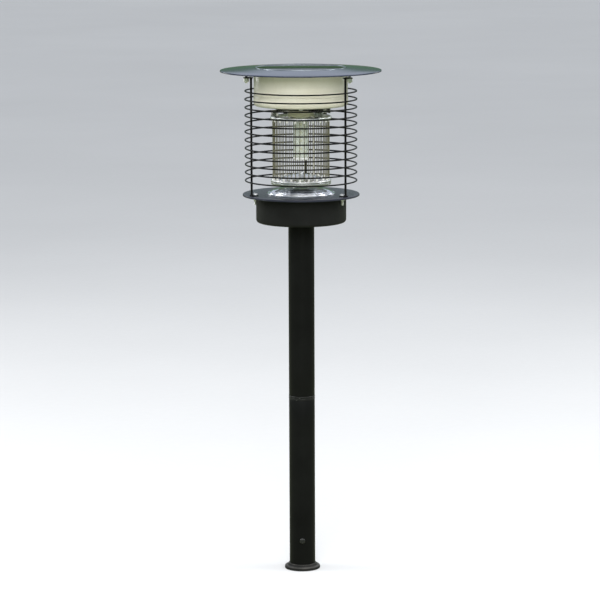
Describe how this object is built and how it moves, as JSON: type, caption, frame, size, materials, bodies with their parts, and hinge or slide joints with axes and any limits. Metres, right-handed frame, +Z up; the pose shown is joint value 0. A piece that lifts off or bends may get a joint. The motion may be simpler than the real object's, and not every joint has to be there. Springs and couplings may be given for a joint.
{
  "type": "electric bug zapper",
  "caption": "Solar garden bug zapper: caged electrode grid and lamp under a wide cap with a solar panel, on a pole with a ground stake.",
  "frame": {"origin": "on the pole's axis at ground level, on the underside of the stake's collar", "axes": "+Z up along the pole; -Y is the front, the side the picture shows"},
  "size_m": [0.2346, 0.2346, 0.9253],
  "materials": {
    "stake_plastic": "moulded, matt",
    "fixing_steel": "zinc plated",
    "pole_paint": "satin black powder coat",
    "joiner_paint": "satin black",
    "cup_paint": "matt black powder coat",
    "socket_steel": "satin black",
    "flange_paint": "satin dark blue-black",
    "cage_paint": "satin black powder coat",
    "dish_chrome": "polished",
    "cone_chrome": "polished",
    "grid_ring_steel": "bright",
    "grid_wire_steel": "drawn wire",
    "insulator_white": "gloss",
    "insulator_ceramic": "glazed",
    "lamp_glass": "frosted",
    "lamp_white": "gloss",
    "led_board_white": "matt",
    "led_yellow": "gloss",
    "housing_ivory": "gloss ivory",
    "gasket_rubber": "soft",
    "standoff_brass": "turned",
    "board_green": "solder mask",
    "coil_yellow": "taped winding",
    "capacitor_blue": "sleeved",
    "cell_blue": "shrink sleeve",
    "tray_black": "moulded",
    "lead_red": "insulated wire",
    "lead_cream": "insulated wire",
    "mount_black": "moulded",
    "bracket_steel": "bent sheet, bright",
    "cap_paint": "semi-gloss blue-grey metallic",
    "panel_back": "laminate",
    "solar_blue": "silicon",
    "panel_glass": "clear",
    "bezel_metal": "satin",
    "switch_black": "moulded",
    "button_red": "soft boot"
  },
  "bodies": {
    "stake": {"ground_stake": "stake_plastic", "stake_screw": "fixing_steel", "lower_pole": "pole_paint", "pole_joiner": "joiner_paint"},
    "upper_pole": {"upper_pole": "pole_paint"},
    "head": {"base_cup": "cup_paint", "pole_socket": "socket_steel", "flange_plate": "flange_paint", "base_bolts": "fixing_steel", "base_nuts": "fixing_steel", "cage_rods": "cage_paint", "cage_rings": "cage_paint", "cap_studs": "fixing_steel", "cap_nuts": "fixing_steel", "dish": "dish_chrome", "reflector_cone": "cone_chrome", "lower_grid_ring": "grid_ring_steel", "lower_grid_wires": "grid_wire_steel", "upper_grid_ring": "grid_ring_steel", "upper_grid_wires": "grid_wire_steel", "grid_beads": "insulator_white", "grid_mount": "mount_black", "post_brackets": "bracket_steel", "bracket_screws": "fixing_steel", "insulator_posts": "insulator_ceramic", "lamp_tube": "lamp_glass", "lamp_end_cap": "lamp_white", "lamp_holder": "lamp_white", "holder_nut": "lamp_white", "led_board": "led_board_white", "led_chips": "led_yellow", "housing_shell": "housing_ivory", "housing_cover": "housing_ivory", "housing_screws": "fixing_steel", "housing_gasket": "gasket_rubber", "board_standoffs": "standoff_brass", "control_board": "board_green", "board_screws": "fixing_steel", "hv_transformer": "coil_yellow", "hv_capacitors": "capacitor_blue", "battery_cells": "cell_blue", "battery_trays": "tray_black", "hv_lead": "lead_cream", "panel_leads": "lead_red", "cap": "cap_paint", "cap_screws": "fixing_steel", "panel_board": "panel_back", "solar_cells": "solar_blue", "panel_cover": "panel_glass", "panel_bezel": "bezel_metal", "power_switch": "switch_black"},
    "button": {"power_button": "button_red"}
  },
  "joints": [
    {"name": "upper_pole_lift", "type": "slide", "parent": "stake", "child": "upper_pole", "axis": [0, 0, 1], "range_m": [0, 0.042]},
    {"name": "head_lift", "type": "slide", "parent": "upper_pole", "child": "head", "axis": [0, 0, 1], "range_m": [0, 0.04]},
    {"name": "button_press", "type": "slide", "parent": "head", "child": "button", "axis": [0.8141, -0.5807, 0], "range_m": [0, 0.0015], "stiffness_N_per_m": 1500}
  ]
}
